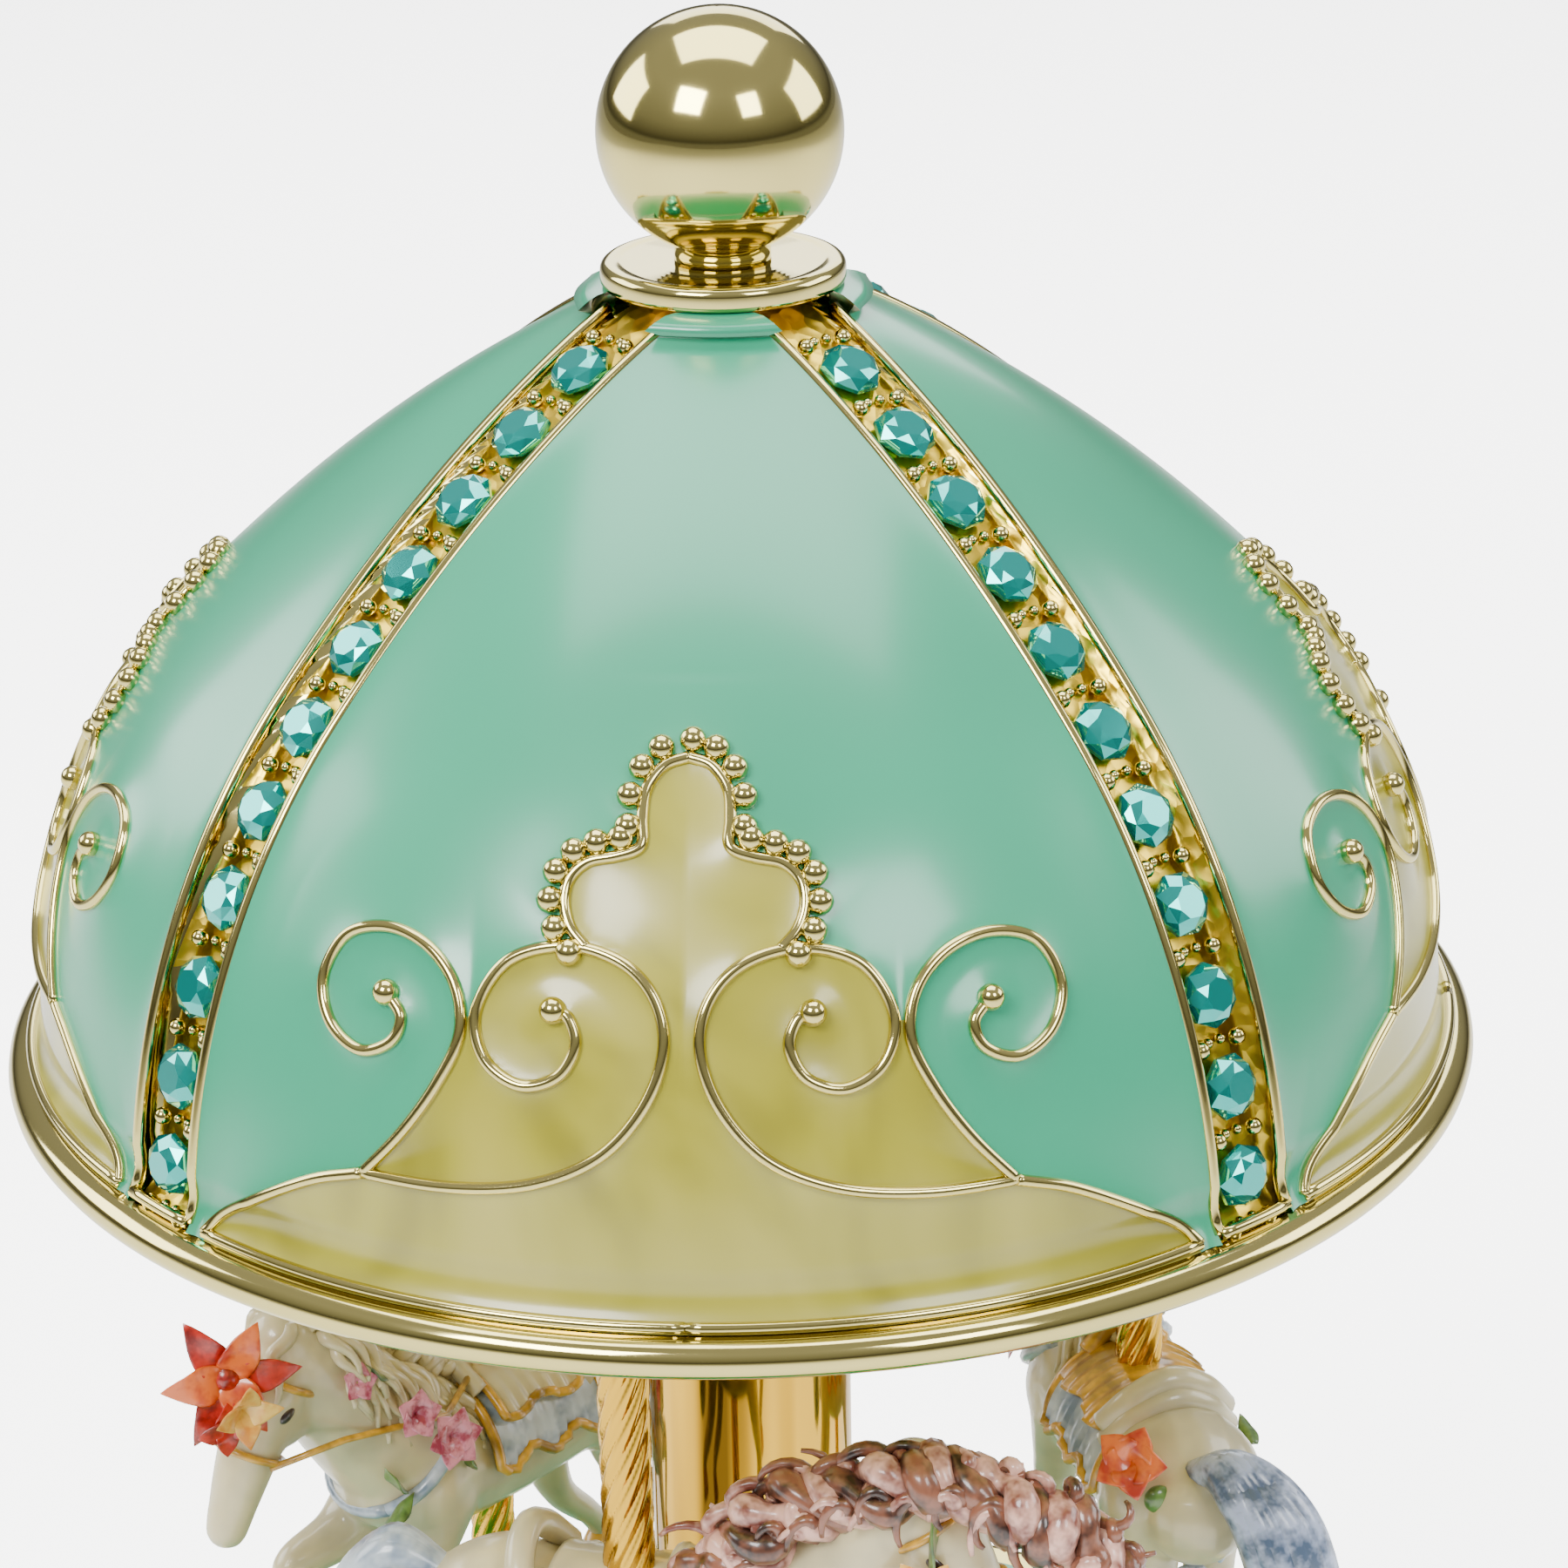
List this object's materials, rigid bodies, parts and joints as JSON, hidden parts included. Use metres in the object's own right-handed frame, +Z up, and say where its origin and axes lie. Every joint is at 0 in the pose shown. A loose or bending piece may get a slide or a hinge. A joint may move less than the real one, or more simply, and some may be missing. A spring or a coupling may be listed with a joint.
{
  "type": "carousel music box",
  "caption": "Wind-up carousel music box with horses on twisted poles under a jewelled mint and cream enamel dome canopy with a ball finial.",
  "frame": {"origin": "centre of the underside of the base, on the surface it stands on", "axes": "+Z up along the turning axis; the middle of one canopy panel faces -Y; +X to the right of that panel"},
  "size_m": [0.078, 0.078, 0.1453],
  "materials": {
    "gold_plate": "polished",
    "mint_enamel": "gloss",
    "cream_enamel": "gloss",
    "aqua_crystal": "polished",
    "painted_resin": "gloss",
    "steel": "satin",
    "brass": "satin",
    "nylon": "satin",
    "felt": "matte"
  },
  "bodies": {
    "base": {"felt_ring": "felt", "foot_ring": "gold_plate", "base_housing": "gold_plate", "base_cream_panels": "cream_enamel", "base_mint_panels": "mint_enamel", "base_scrollwork": "gold_plate", "base_stones": "aqua_crystal", "base_prongs": "gold_plate", "floor_plate": "steel", "floor_screws": "steel", "bedplate": "brass", "bedplate_screws": "steel", "comb_block": "steel", "comb": "steel", "comb_screws": "steel", "inner_bridge": "steel", "outer_bridge": "steel", "governor_bracket": "steel", "wrap_spring": "steel", "spindle_bushing": "nylon"},
    "key": {"winding_arbor": "steel", "winding_key": "brass"},
    "cylinder": {"cylinder_arbor": "steel", "cylinder_pinion": "brass", "cylinder_gear": "brass", "pin_cylinder": "brass", "cylinder_pins": "steel"},
    "layshaft": {"layshaft": "steel", "layshaft_pinion": "steel", "worm_wheel": "nylon"},
    "governor": {"worm": "steel", "fly": "brass"},
    "carousel": {"spring_barrel": "brass", "barrel_cover": "brass", "mainspring": "steel", "drive_spindle": "steel", "platform": "gold_plate", "platform_enamel": "mint_enamel", "column_tube": "gold_plate", "column_foot": "gold_plate", "column_capital": "gold_plate", "tie_rod": "steel", "pole_front": "gold_plate", "pole_right": "gold_plate", "pole_left": "gold_plate", "pole_nuts": "steel", "horse_front": "painted_resin", "horse_right": "painted_resin", "horse_left": "painted_resin", "canopy_shell": "gold_plate", "cream_panels": "cream_enamel", "mint_panels": "mint_enamel", "canopy_scrollwork": "gold_plate", "rib_rails": "gold_plate", "canopy_beads": "gold_plate", "canopy_stones": "aqua_crystal", "stone_prongs": "gold_plate", "canopy_ceiling": "gold_plate", "finial_washer": "gold_plate", "finial_ball": "gold_plate"}
  },
  "joints": [
    {"name": "carousel_spin", "type": "hinge", "parent": "base", "child": "carousel", "pos_m": [0, 0, 0.0375], "axis": [0, 0, 1], "continuous": true},
    {"name": "cylinder_spin", "type": "hinge", "parent": "base", "child": "cylinder", "pos_m": [0.0217, 0, 0.02085], "axis": [1, 0, 0], "continuous": true},
    {"name": "layshaft_spin", "type": "hinge", "parent": "base", "child": "layshaft", "pos_m": [0.0217, 0.01, 0.02085], "axis": [1, 0, 0], "continuous": true},
    {"name": "governor_spin", "type": "hinge", "parent": "base", "child": "governor", "pos_m": [0.021, 0.014, 0.02085], "axis": [0, 0, 1], "continuous": true},
    {"name": "key_turn", "type": "hinge", "parent": "base", "child": "key", "pos_m": [0, 0, 0.0115], "axis": [0, 0, 1], "continuous": true}
  ],
  "couplings": [
    {"joint": "cylinder_spin", "follows": "carousel_spin", "ratio": 3},
    {"joint": "layshaft_spin", "follows": "carousel_spin", "ratio": -9},
    {"joint": "governor_spin", "follows": "carousel_spin", "ratio": 108}
  ]
}
